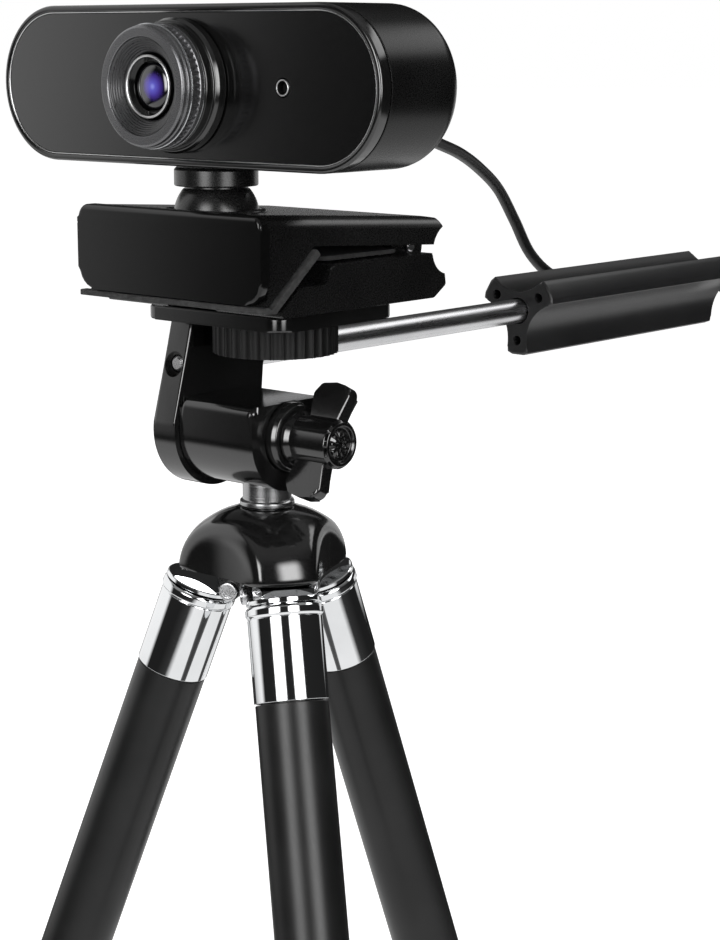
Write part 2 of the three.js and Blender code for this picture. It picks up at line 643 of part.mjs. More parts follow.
function cordCoil() {
  const [inner, outer] = [COIL_MEAN_R - COIL_HALF_WIDTH, COIL_MEAN_R + COIL_HALF_WIDTH];
  const top = COIL_HEIGHT + 0.1;
  const section = ring([[inner + 1, 0.1], [outer - 1, 0.1], [outer, 1.1], [outer, top - 1], [outer - 1, top],
    [inner + 1, top], [inner, top - 1], [inner, 1.1]]);
  return turned(section, 'z', COIL_CENTRE.x, COIL_CENTRE.y);
}

// USB plug where the coil's outermost turn leaves it: tapered boot, moulded body and metal shell.
function usbPlug() {
  const y = COIL_CENTRE.y - COIL_MEAN_R - 6;
  const start = COIL_CENTRE.x - 14;
  const boot = turned([[0, start - 10], [3, start - 10], [2.2, start], [0, start]], 'x', y, 4.2, 12);
  const body = prism(boxOutline(y - 7.8, y + 7.8, 0.1, 8.3, 1.8), 'x', start - 33, start - 9, 1);
  const shell = prism(boxOutline(y - 6, y + 6, 1.95, 6.45), 'x', start - 51, start - 32);
  const mouth = prism(boxOutline(y - 5.6, y + 5.6, 4.3, 6.05), 'x', start - 60, start - 36);
  return cut(join(boot, body, shell), mouth);
}

place('cord_lead', cordLead(), RUBBER, assembly);
place('cord_coil', cordCoil(), RUBBER, assembly);
place('usb_plug', usbPlug(), SATIN_BLACK, assembly);

// ---------------------------------------------------------------- origin

// The footprint's centre is taken without the cord's own pieces.
const ON_THE_CORD = ['cord_lead', 'cord_coil', 'usb_plug'];
assembly.updateMatrixWorld(true);
const box = new THREE.Box3();
assembly.traverse((node) => {
  if (node.isMesh && !ON_THE_CORD.includes(node.name)) box.expandByObject(node, true);
});
const centre = box.getCenter(new THREE.Vector3());
assembly.position.set(-centre.x, -centre.y, -box.min.z);

export default assembly;
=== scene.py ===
"""Looks of the webcam on its pocket tripod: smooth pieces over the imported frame, materials, light and camera.

Pieces are drawn in millimetres about the tripod's own axis, with heights above the crown's rim,
and go to the frame's metres at the end. The webcam looks along -Y.
"""

import math

import bmesh
import bpy
from mathutils import Matrix, Vector


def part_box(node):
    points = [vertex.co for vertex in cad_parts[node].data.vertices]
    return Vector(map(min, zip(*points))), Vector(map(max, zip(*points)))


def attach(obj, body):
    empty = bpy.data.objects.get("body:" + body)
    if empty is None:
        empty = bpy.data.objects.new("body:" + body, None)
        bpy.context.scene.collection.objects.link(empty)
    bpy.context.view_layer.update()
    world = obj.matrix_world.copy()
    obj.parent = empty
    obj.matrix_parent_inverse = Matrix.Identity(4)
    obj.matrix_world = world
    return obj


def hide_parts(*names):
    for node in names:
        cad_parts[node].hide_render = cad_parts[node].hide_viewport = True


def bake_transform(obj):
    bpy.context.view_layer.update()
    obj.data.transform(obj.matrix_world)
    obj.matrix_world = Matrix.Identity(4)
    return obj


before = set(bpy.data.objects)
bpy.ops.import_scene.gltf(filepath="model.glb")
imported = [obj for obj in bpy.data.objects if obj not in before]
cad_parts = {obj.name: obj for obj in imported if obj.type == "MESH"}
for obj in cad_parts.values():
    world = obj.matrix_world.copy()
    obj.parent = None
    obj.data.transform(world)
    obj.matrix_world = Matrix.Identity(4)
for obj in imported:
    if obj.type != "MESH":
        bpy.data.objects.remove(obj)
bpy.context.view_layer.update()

# ---------------------------------------------------------------- places, from the frame


def middle(node):
    low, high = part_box(node)
    return (Vector(low) + Vector(high)) / 2


AXIS = middle("neck_column")  # the tripod's own axis
RIM_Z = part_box("crown_shell")[0][2]
TO_ROW = Matrix.Translation((AXIS.x, AXIS.y, RIM_Z)) @ Matrix.Scale(0.001, 4)
FLOOR = -RIM_Z * 1000

SPLAY = math.radians(20)
LEG_AZIMUTHS = [math.radians(a) for a in (-34, -154, 86)]
LEG_PIN = (6.8, -4.2)  # from the axis, and above the rim
LEG_TOP = (15.3, 0, -4.8)  # where a leg's own axis starts, along the crown's radius
TILT_Z = 29.5
ARM_X = -18.05  # the handle's axis
ROD_Z = 43.6
SCREW_Y = 3.0
HINGE = (30.2, 68.1)  # the clip's hinge, y and z
HINGE_BACK, HINGE_HOLE = 5.2, 1.5  # radii of the rounded hollow about the knuckles and of the pin's hole
BALL = (-14.2, 76.5)  # the ball's centre, y and z
BALL_R = 8.8
CAM_Z = 102.8
CAM_WIDTH, CAM_HEIGHT = 106.0, 31.8
CORD_Z = 98.2
MIC_X = 28.0
CORD_R = 1.5


def row(x, y, z):
    return tuple(TO_ROW @ Vector((x, y, z)))


# ---------------------------------------------------------------- camera

AZIMUTH, ELEVATION = math.radians(41), math.radians(11.3)


def add_camera():
    camera = bpy.data.objects.new("camera", bpy.data.cameras.new("camera"))
    bpy.context.scene.collection.objects.link(camera)
    camera.data.sensor_width = 36
    camera.data.lens = 82.7
    back = Vector((
        math.sin(AZIMUTH) * math.cos(ELEVATION),
        -math.cos(AZIMUTH) * math.cos(ELEVATION),
        math.sin(ELEVATION),
    ))
    camera.rotation_euler = back.to_track_quat("Z", "Y").to_euler()
    camera.location = row(312.5, -329.1, 112.0)
    bpy.context.scene.camera = camera


add_camera()

# ---------------------------------------------------------------- materials


def nodes_of(name):
    made = bpy.data.materials.new(name)
    made.use_nodes = True
    tree = made.node_tree
    return made, tree, tree.nodes["Principled BSDF"]


def coordinates(tree, stretch=(1, 1, 1)):
    where = tree.nodes.new("ShaderNodeTexCoord")
    mapping = tree.nodes.new("ShaderNodeMapping")
    mapping.inputs["Scale"].default_value = stretch
    tree.links.new(where.outputs["Object"], mapping.inputs["Vector"])
    return mapping.outputs["Vector"]


def noise(tree, vector, scale, detail=3.0):
    made = tree.nodes.new("ShaderNodeTexNoise")
    made.inputs["Scale"].default_value = scale
    made.inputs["Detail"].default_value = detail
    tree.links.new(vector, made.inputs["Vector"])
    return made.outputs["Fac"]


def ramp(tree, factor, stops):
    made = tree.nodes.new("ShaderNodeValToRGB")
    elements = made.color_ramp.elements
    while len(elements) < len(stops):
        elements.new(0.5)
    for element, (place, colour) in zip(elements, stops):
        element.position = place
        element.color = (*colour, 1)
    tree.links.new(factor, made.inputs["Fac"])
    return made.outputs["Color"]


def spread(tree, factor, low, high):
    made = tree.nodes.new("ShaderNodeMapRange")
    made.inputs["From Min"].default_value = 0.3
    made.inputs["From Max"].default_value = 0.7
    made.inputs["To Min"].default_value = low
    made.inputs["To Max"].default_value = high
    tree.links.new(factor, made.inputs["Value"])
    return made.outputs["Result"]


def times(tree, factor, by):
    """A node output multiplied by another one or by a number."""
    made = tree.nodes.new("ShaderNodeMath")
    made.operation = "MULTIPLY"
    tree.links.new(factor, made.inputs[0])
    if isinstance(by, bpy.types.NodeSocket):
        tree.links.new(by, made.inputs[1])
    else:
        made.inputs[1].default_value = by
    return made.outputs["Value"]


def surface(name, dark, light, rough, metallic=0.0, patch=60, grain=1500, bump=0.15, depth=0.00003,
            stretch=(1, 1, 1), coat=0.0, specular=0.5):
    """Two close tones in patches, with roughness and relief from a finer grain."""
    made, tree, shader = nodes_of(name)
    shader.inputs["Metallic"].default_value = metallic
    shader.inputs["Specular IOR Level"].default_value = specular
    shader.inputs["Coat Weight"].default_value = coat
    shader.inputs["Coat Roughness"].default_value = 0.05
    patches = noise(tree, coordinates(tree), patch)
    fine = noise(tree, coordinates(tree, stretch), grain, 2)
    tree.links.new(ramp(tree, patches, [(0.35, dark), (0.65, light)]), shader.inputs["Base Color"])
    tree.links.new(spread(tree, fine, *rough), shader.inputs["Roughness"])
    relief = tree.nodes.new("ShaderNodeBump")
    relief.inputs["Strength"].default_value = bump
    relief.inputs["Distance"].default_value = depth
    tree.links.new(fine, relief.inputs["Height"])
    tree.links.new(relief.outputs["Normal"], shader.inputs["Normal"])
    return made


def painted_coating_reflection():
    """Dark glass whose colour is a painted reflection of its coating: pale blue at a painted glint near the
    middle, through violet to black.
    """
    reach = 6  # millimetres from the glint to the end of the ramp
    made, tree, shader = nodes_of("painted_coating_reflection")
    shader.inputs["Specular IOR Level"].default_value = 0.9
    shader.inputs["Coat Weight"].default_value = 0.3
    shader.inputs["Coat Roughness"].default_value = 0.02
    where = tree.nodes.new("ShaderNodeTexCoord")
    offset = tree.nodes.new("ShaderNodeVectorMath")
    offset.operation = "DISTANCE"
    offset.inputs[1].default_value = row(0.9, -32.3, CAM_Z)
    tree.links.new(where.outputs["Object"], offset.inputs[0])
    # painted reflection: the coating's blue and violet, brightest at a painted glint just off the lens axis, go
    # into the base colour
    tone = ramp(tree, times(tree, offset.outputs["Value"], 1000 / reach), [
        (0.0, (0.3, 0.34, 0.75)), (0.12, (0.11, 0.1, 0.5)), (0.3, (0.06, 0.035, 0.27)),
        (0.44, (0.015, 0.008, 0.06)), (0.52, (0.002, 0.002, 0.003)),
    ])
    tree.links.new(tone, shader.inputs["Base Color"])
    smudge = noise(tree, where.outputs["Object"], 300)
    tree.links.new(spread(tree, smudge, 0.02, 0.07), shader.inputs["Roughness"])
    return made


def grey(tone):
    return (tone, tone, tone)


GLOSS = surface("gloss_black", grey(0.005), grey(0.008), (0.1, 0.15), bump=0.03, specular=0.9)
PANEL = surface("panel_gloss", grey(0.002), grey(0.003), (0.15, 0.18), patch=20, bump=0.02, coat=0.2,
                specular=1.0)
LIP = surface("lip_gloss", grey(0.003), grey(0.005), (0.1, 0.13), patch=20, bump=0.02, specular=0.45)
SATIN = surface("satin_black", grey(0.004), grey(0.007), (0.25, 0.29), grain=2500, bump=0.03)
SHELL = surface("shell_black", grey(0.004), grey(0.006), (0.26, 0.29), grain=2500, bump=0.025, specular=0.25)
MOULDED = surface("moulded_black", grey(0.005), grey(0.009), (0.36, 0.46), grain=3000, bump=0.25)
FLUTED = surface("fluted_black", grey(0.003), grey(0.006), (0.42, 0.5), grain=3000, bump=0.1, specular=0.2)
GRIP = surface("grip_grey", (0.013, 0.013, 0.0135), (0.018, 0.018, 0.0185), (0.3, 0.38), grain=2600,
               bump=0.15)
RUBBER = surface("rubber", grey(0.012), grey(0.03), (0.7, 0.9), patch=900, grain=3500, bump=0.7,
                 depth=0.00008)
TUBE = surface("tube_black", grey(0.008), grey(0.013), (0.3, 0.36), grain=3000, bump=0.05,
               stretch=(1, 1, 0.2), specular=0.35)
CHROME = surface("chrome", (0.78, 0.79, 0.8), (0.86, 0.87, 0.88), (0.03, 0.07), 1.0, bump=0.02)
STEEL = surface("polished_steel", (0.6, 0.6, 0.61), (0.68, 0.68, 0.69), (0.24, 0.32), 1.0, bump=0.1,
                stretch=(1, 0.02, 1), grain=2500)
NECK = surface("turned_steel", (0.4, 0.4, 0.405), (0.48, 0.48, 0.485), (0.22, 0.28), 1.0, bump=0.03,
               stretch=(0.02, 0.02, 1), grain=3500)
DRAWN = surface("drawn_aluminium", (0.62, 0.63, 0.64), (0.72, 0.73, 0.74), (0.2, 0.3), 1.0, bump=0.1,
                stretch=(1, 1, 0.05), grain=2500)
LENS_GREY = surface("lens_grey", (0.15, 0.15, 0.155), (0.19, 0.19, 0.195), (0.24, 0.32), 0.85, grain=6000,
                    bump=0.03)
LENS_BRIGHT = surface("lens_bright", (0.5, 0.51, 0.52), (0.62, 0.63, 0.64), (0.14, 0.2), 0.9, grain=6000,
                      bump=0.02)
LENS_DARK = surface("lens_dark", (0.03, 0.03, 0.031), (0.045, 0.045, 0.047), (0.26, 0.34), 0.3, bump=0.15)
TRIM = surface("trim", grey(0.55), grey(0.65), (0.3, 0.36), 0.9, grain=6000, bump=0.02)
BRASS = surface("brass", (0.5, 0.38, 0.15), (0.62, 0.48, 0.22), (0.22, 0.34), 1.0)
BOARD = surface("board", (0.01, 0.07, 0.03), (0.02, 0.12, 0.05), (0.35, 0.5), patch=400)
CORD = surface("cord_black", grey(0.008), grey(0.013), (0.34, 0.44), grain=2500, bump=0.15)
GLASS = painted_coating_reflection()

# ---------------------------------------------------------------- mesh building, in millimetres

STEPS = 96  # sides of a turned solid
ARC_SHARE = 0.48  # the most of a side that one rounded corner takes
# The outline's two coordinates are (x, y) along z, (y, z) along x and (x, z) along y.
ALONG = {
    "z": Matrix.Identity(4),
    "x": Matrix(((0, 0, 1, 0), (1, 0, 0, 0), (0, 1, 0, 0), (0, 0, 0, 1))),
    "y": Matrix(((1, 0, 0, 0), (0, 0, 1, 0), (0, 1, 0, 0), (0, 0, 0, 1))),
}


def rounded(corners, steps=6):
    """The closed outline through (a, b) or (a, b, radius) corners, with an arc where there is a radius."""
    points = []
    for i, corner in enumerate(corners):
        here = Vector(corner[:2])
        last = Vector(corners[i - 1][:2]) - here
        after = Vector(corners[(i + 1) % len(corners)][:2]) - here
        if len(corner) < 3 or last.angle(after) > math.radians(178):
            points.append(tuple(here))
            continue
        half = last.angle(after) / 2
        reach = min(corner[2] / math.tan(half), ARC_SHARE * last.length, ARC_SHARE * after.length)
        start = here + last.normalized() * reach
        end = here + after.normalized() * reach
        centre = here + (last.normalized() + after.normalized()).normalized() * reach / math.cos(half)
        radius = (start - centre).length
        turns = [Vector((*(p - centre).normalized(), 0)) for p in (start, end)]
        for k in range(steps + 1):
            points.append(tuple(centre + radius * turns[0].slerp(turns[1], k / steps).to_2d()))
    return points


def arc(a, b, radius, start, end, steps=24):
    """Points on an arc about (a, b), from start to end degrees."""
    turns = [math.radians(start + (end - start) * k / steps) for k in range(steps + 1)]
    return [(a + radius * math.cos(t), b + radius * math.sin(t)) for t in turns]


def polar(radius, turn):
    return radius * math.cos(turn), radius * math.sin(turn)


def box(a0, a1, b0, b1, radius):
    return rounded([(a0, b0, radius), (a1, b0, radius), (a1, b1, radius), (a0, b1, radius)])


def solid(mesh, place=Matrix.Identity(4)):
    """An object made from a bmesh whose faces are turned outwards."""
    mesh.transform(place)
    bmesh.ops.recalc_face_normals(mesh, faces=mesh.faces)
    data = bpy.data.meshes.new("solid")
    mesh.to_mesh(data)
    mesh.free()
    made = bpy.data.objects.new("solid", data)
    bpy.context.scene.collection.objects.link(made)
    return made


def skin(mesh, rings, closed=False, caps=False):
    """Faces between rings of vertices; a ring of one vertex is a point."""
    following = rings[1:] + rings[:1] if closed else rings[1:]
    for a, b in zip(rings, following):
        count = max(len(a), len(b))
        for i in range(count):
            j = (i + 1) % count
            corners = dict.fromkeys([a[i % len(a)], a[j % len(a)], b[j % len(b)], b[i % len(b)]])
            if len(corners) > 2:
                mesh.faces.new(corners)
    if caps:
        mesh.faces.new(rings[0])
        mesh.faces.new(rings[-1])


def lathe(profile, axis="z", at=(0.0, 0.0), closed=False, steps=STEPS, shape=None):
    """A solid turned from (radius, height) points; shape(radius, height, angle) is for what isn't round."""
    mesh = bmesh.new()
    rings = []
    for radius, height in rounded(profile, 4):
        if radius < 1e-6:
            rings.append([mesh.verts.new((0, 0, height))])
            continue
        ring = []
        for angle in [2 * math.pi * i / steps for i in range(steps)]:
            r = shape(radius, height, angle) if shape else radius
            ring.append(mesh.verts.new((*polar(r, angle), height)))
        rings.append(ring)
    skin(mesh, rings, closed)
    return solid(mesh, ALONG[axis] @ Matrix.Translation((at[0], at[1], 0)))


def teeth(count, depth, low, high):
    """A lathe's shape with teeth between two heights; their tops and roots are flat."""
    steepness = 1.6

    def shape(radius, height, angle):
        if not low <= height <= high:
            return radius
        return radius - depth * (1 - max(-1.0, min(1.0, steepness * math.sin(angle * count)))) / 2
    return shape


def prism(outline, axis, low, high, edge=0.0, segments=3):
    """An outline extruded along an axis, with rounded rims."""
    mesh = bmesh.new()
    rings = [[mesh.verts.new((a, b, h)) for a, b in rounded(outline)] for h in (low, high)]
    skin(mesh, rings, caps=True)
    if edge:
        rims = [e for e in mesh.edges if abs(e.verts[0].co.z - e.verts[1].co.z) < 1e-6]
        bmesh.ops.bevel(mesh, geom=rims, offset=edge, segments=segments, profile=0.5, affect="EDGES")
    return solid(mesh, ALONG[axis])


def pill(rings, closed=False):
    """The webcam's outline lofted through (inset, y) rings."""
    mesh = bmesh.new()
    reach = (CAM_WIDTH - CAM_HEIGHT) / 2
    made = []
    for inset, y in rings:
        radius = CAM_HEIGHT / 2 - inset
        outline = arc(reach, CAM_Z, radius, -90, 90, 40) + arc(-reach, CAM_Z, radius, 90, 270, 40)
        made.append([mesh.verts.new((x, y, z)) for x, z in outline])
    skin(mesh, made, closed, caps=not closed)
    return solid(mesh)


def rod(radius, axis, u, v, low, high, steps=64):
    return lathe([(0, low), (radius, low), (radius, high), (0, high)], axis, (u, v), steps=steps)


def bake(thing):
    """Applies the object's modifiers to its mesh."""
    shape = bpy.data.meshes.new_from_object(thing.evaluated_get(bpy.context.evaluated_depsgraph_get()))
    thing.modifiers.clear()
    thing.data = shape
    return thing


def combine(operation, first, others):
    for other in others:
        step = first.modifiers.new("combine", "BOOLEAN")
        step.object = other
        step.operation = operation
        step.solver = "EXACT"
    bake(first)
    for other in others:
        bpy.data.objects.remove(other)
    return first


def cut(first, *tools):
    return combine("DIFFERENCE", first, tools)


def join(first, *others):
    return combine("UNION", first, others)


def soften(thing, width, segments=3, angle=32):
    """Rounds the edges that are sharper than an angle."""
    step = thing.modifiers.new("edges", "BEVEL")
    step.width = width
    step.segments = segments
    step.limit_method = "ANGLE"
    step.angle_limit = math.radians(angle)
    return bake(thing)


def piece(name, thing, body, material, slot, *replaced, place=Matrix.Identity(4), flat_weight=True):
    """Names a finished solid, moves it to the frame's metres, and gives it its finish and its body."""
    thing.name = name
    thing.data.transform(TO_ROW @ place)
    thing.data.materials.clear()
    thing.data.materials.append(material)
    for face in thing.data.polygons:
        face.use_smooth = True
    thing.data.set_sharp_from_angle(angle=math.radians(38))
    if flat_weight:
        step = thing.modifiers.new("flat faces first", "WEIGHTED_NORMAL")
        step.keep_sharp = True
    if body:
        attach(thing, body)
    if replaced:
        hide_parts(*replaced)
    return thing


# ---------------------------------------------------------------- cord

# The route repeats the frame's: out of the webcam's back, along the grip and down from its end to the floor.
LEAD = [
    (0, 13.8, 264.6), (-1.2, 24, 264.4), (-4.2, 36, 263.5), (-9, 50, 261.5), (-14.5, 64, 258.5),
    (-19.7, 78.7, 254.6), (-24, 95.8, 250.4), (-27, 107.8, 246), (-29.6, 119, 240.2), (-31.4, 128.5, 231.5),
    (-32.3, 137, 222), (-32.4, 147, 215.5), (-32.4, 160, 212.6), (-32.4, 175, 212), (-32.4, 190, 212),
    (-32.3, 203, 211.9), (-29.5, 211, 211), (-23, 216, 208), (-15.5, 218, 202), (-11, 218.4, 193),
    (-9.5, 218.4, 180), (-9, 218.2, 150), (-9, 218, 110), (-9, 217.6, 70), (-8.8, 216.5, 38), (-7.6, 213, 18),
    (-4.6, 206, 6.5), (0.5, 195, 2.4), (6, 182, 1.6), (12, 166, 1.6), (17, 150, 1.6), (19.3, 137, 1.6),
    (19.5, 126, 1.6),
]
COIL = Vector((-8, 121))
COIL_OUTER, COIL_INNER = 24.0, 12.0  # middle of the outermost and innermost turns
LAPS = 4
LOW, HIGH = 1.6, 4.6  # heights of the two layers


def coil_points():
    """Clockwise: inwards on the floor, up one layer, outwards, and round to where the plug leaves."""
    step = math.radians(15)
    points = []
    lap = 2 * math.pi
    total = LAPS * lap * 2 + lap + math.radians(86)
    turned = 0.0
    while turned < total:
        if turned < LAPS * lap:
            radius = COIL_OUTER - (COIL_OUTER - COIL_INNER) * turned / (LAPS * lap)
            height = LOW
        elif turned < (LAPS + 1) * lap:
            radius = COIL_INNER
            t = (turned - LAPS * lap) / lap
            height = LOW + (HIGH - LOW) * t
        else:
            t = min(1.0, (turned - (LAPS + 1) * lap) / (LAPS * lap))
            radius = COIL_INNER + (COIL_OUTER - COIL_INNER) * t
            height = HIGH
        angle = -turned
        points.append((COIL.x + radius * math.cos(angle), COIL.y + radius * math.sin(angle), height))
        turned += step
    return points


def smooth(points, spacing):
    """Points along a centripetal curve through the given ones, about spacing apart."""
    guide = [2 * Vector(points[0]) - Vector(points[1])] + [Vector(p) for p in points]
    guide.append(2 * guide[-1] - guide[-2])
    out = []
    for p0, p1, p2, p3 in zip(guide, guide[1:], guide[2:], guide[3:]):
        t1 = (p1 - p0).length ** 0.5
        t2 = t1 + (p2 - p1).length ** 0.5
        t3 = t2 + (p3 - p2).length ** 0.5
        count = max(1, round((p2 - p1).length / spacing))
        for k in range(count):
            t = t1 + (t2 - t1) * k / count
            a1 = p0.lerp(p1, t / t1)
            a2 = p1.lerp(p2, (t - t1) / (t2 - t1))
            a3 = p2.lerp(p3, (t - t2) / (t3 - t2))
            b1 = a1.lerp(a2, t / t2)
            b2 = a2.lerp(a3, (t - t1) / (t3 - t1))
            out.append(b1.lerp(b2, (t - t1) / (t2 - t1)))
    out.append(guide[-2])
    return out


def tube(path, radius, sides=16):
    mesh = bmesh.new()
    rings = []
    side = Vector((1, 0, 0))
    for i, point in enumerate(path):
        along = (path[min(i + 1, len(path) - 1)] - path[max(i - 1, 0)]).normalized()
        side = (side - side.dot(along) * along).normalized()
        up = along.cross(side)
        turns = [2 * math.pi * k / sides for k in range(sides)]
        ring = [point + radius * (math.cos(t) * side + math.sin(t) * up) for t in turns]
        rings.append([mesh.verts.new(corner) for corner in ring])
    skin(mesh, rings, caps=True)
    return solid(mesh)


def floor_heights(points):
    return [Vector((x, y, z + FLOOR)) for x, y, z in points]


def add_cord():
    lead = smooth(floor_heights(LEAD), 2.0)
    to_plug = [(-15.5, 96.6, 4.4), (-23, 96.8, 4.2), (-26, 97, 4.2)]
    tail = floor_heights([(17.4, 133, LOW)] + coil_points() + to_plug)
    lead_in = Vector((0, 9, LEAD[0][2] + FLOOR))
    stretches = [
        ("cord_at_relief", 9, 22, "webcam", "seat", 14, 21.5),
        ("cord_over_seat", 22, 42, "seat", "clip_upper", 22.5, 41.5),
        ("cord_over_hinge", 42, 66, "clip_upper", "bracket", 42.5, 65.5),
    ]
    for name, first, last, near, far, start, end in stretches:
        run = [p for p in [lead_in] + lead if first - 1.2 <= p.y <= last + 1.2]
        thing = piece(name, tube(run, CORD_R), None, CORD, "rubber", flat_weight=False)
        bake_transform(thing)
    run = [p for p in lead if p.y > 65][:-3]
    path = run + smooth([run[-1]] + tail, 2.5)[1:]
    main = piece("cord", tube(path, CORD_R, 12), None, CORD, "rubber", "cord_lead", "cord_coil",
                 flat_weight=False)
    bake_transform(main)
    add_plug()


def add_plug():
    y, z = 97.0, 4.2 + FLOOR
    start = -22.0
    taper = [(0, 12), (3, 12), (2.9, 9), (2.6, 4), (2.2, 0.4), (1.9, 0), (0, 0)]
    boot = lathe([(radius, start - back) for radius, back in taper], "x", (y, z))
    grooves = [lathe([(2.0, x), (4, x), (4, x - 0.8), (2.0, x - 0.8)], "x", (y, z), closed=True)
               for x in (start - 2.2, start - 4.4, start - 6.6)]
    body = soften(prism(box(y - 7.7, y + 7.7, z - 4, z + 4, 2.0), "x", start - 33, start - 9, 1.2), 0.2, 2)
    dents = []
    for flat in (z - 4, z + 4):
        for k in range(5):
            line = box(y - 4.5, y + 4.5, flat - 0.3, flat + 0.3, 0.25)
            dents.append(prism(line, "x", start - 14 - 2 * k, start - 13 - 2 * k))
    handle = join(cut(body, *dents), cut(boot, *grooves))
    shell = cut(
        prism(box(y - 6, y + 6, z - 2.25, z + 2.25, 0.6), "x", start - 51, start - 32),
        prism(box(y - 5.7, y + 5.7, z - 1.95, z + 1.95, 0.4), "x", start - 60, start - 34),
        prism(box(y - 3.6, y - 1.4, z + 1, z + 4, 0.2), "x", start - 44, start - 41.6),
        prism(box(y + 1.4, y + 3.6, z + 1, z + 4, 0.2), "x", start - 44, start - 41.6),
    )
    tongue = prism(box(y - 5.5, y + 5.5, z - 1.9, z + 0.1, 0.2), "x", start - 50, start - 33.5)
    return [
        piece("plug_body", handle, "head", MOULDED, "satin_black", "usb_plug"),
        piece("plug_shell", shell, "head", DRAWN, "tube_metal"),
        piece("plug_tongue", tongue, "head", SATIN, "satin_black"),
    ]


add_cord()

# ---------------------------------------------------------------- crown and legs


def hollowed(radius, height, angle):
    """The dome's radius where the three hollowed faces between the legs cut it, with soft edges."""
    away, hollow, soft = 58.3, 45.0, 3.0
    for azimuth in LEG_AZIMUTHS:
        turn = angle - azimuth - math.pi / 3
        inside = hollow ** 2 - (away * math.sin(turn)) ** 2
        if inside <= 0 or math.cos(turn) < 0:
            continue
        face = away * math.cos(turn) - math.sqrt(inside)
        near = max(0.0, 1 - abs(radius - face) / soft)
        radius = min(radius, face) - near ** 2 * soft / 4
    return radius


def add_crown():
    dome = [(4.3, 13.6), (6.2, 13.6), (6.6, 13.5), (8.2, 13.05), (9.7, 12.5), (11, 11.9), (12.2, 11.2),
            (13.3, 10.5), (14.4, 9.7), (15.4, 8.8), (16.3, 7.8), (17.1, 6.7), (17.8, 5.5), (18.35, 4.3),
            (18.75, 3), (19, 1.9), (19.1, 1.0), (18.95, 0.4), (18.6, 0.1), (18.2, 0), (11.8, 0), (11.8, 8.2),
            (4.3, 8.2)]
    shell = lathe(dome, closed=True, steps=288, shape=hollowed)
    piece("crown", shell, "crown", GLOSS, "gloss_black", "crown_shell", flat_weight=False)
    profile = [(0, -6.9), (1.1, -6.9), (1.2, -7.3, 0.1), (2, -7.3, 0.2), (2, -6.5), (1.25, -6.5), (1.25, 6.5),
               (2, 6.5), (2, 7.3, 0.2), (1.2, 7.3, 0.1), (1.1, 6.9), (0, 6.9)]
    for n, azimuth in enumerate(LEG_AZIMUTHS, 1):
        pin = lathe(profile, "y", LEG_PIN, steps=48)
        turn = Matrix.Rotation(azimuth, 4, "Z")
        piece(f"pin_{n}", pin, "crown", STEEL, "chrome", f"leg_pin_{n}", place=turn)


def leg_end():
    """Chrome end of a leg, in the plane of the crown's radius."""
    plug = lathe([(0, -7), (5.2, -7), (5.2, 0.3), (7.7, 0.3), (7.9, 0.5), (7.9, 1.2), (7.7, 1.4), (0, 1.4)])
    plug.data.transform(Matrix.Translation(LEG_TOP) @ Matrix.Rotation(-SPLAY, 4, "Y"))
    wedge = prism([(9.9, -5.9), (19.2, -2.5), (19.2, -0.3), (9.9, -0.3)], "y", -5.6, 5.6)
    bridge = prism([(6.8, -6.4), (10.5, -5.8), (10.5, -0.9), (6.8, -2)], "y", -4.1, 4.1)
    knuckle = rod(2.3, "y", *LEG_PIN, -4.1, 4.1)
    whole = cut(join(plug, wedge, bridge, knuckle), rod(1.55, "y", *LEG_PIN, -8, 8))
    return soften(whole, 0.25, 3)


def leg_foot():
    boot = lathe([(0, -178), (5, -177), (7.8, -174.5), (8.6, -171, 2), (8.5, -167, 2), (8.2, -164, 1.5),
                  (7.0, -161.5, 0.8), (5.2, -161.5), (5.2, -167.8), (0, -167.8)])
    grooves = []
    for z in (-170.5, -168.6, -166.7):
        grooves.append(lathe([(8.25, z), (9.5, z), (9.5, z + 0.7), (8.25, z + 0.7)], closed=True))
    ground = prism(box(-30, 30, -30, 30, 1), "z", -200, 0)
    ground.data.transform(Matrix.Translation((0, 0, -172)) @ Matrix.Rotation(SPLAY, 4, "Y"))
    return soften(cut(boot, *grooves, ground), 0.25, 2)


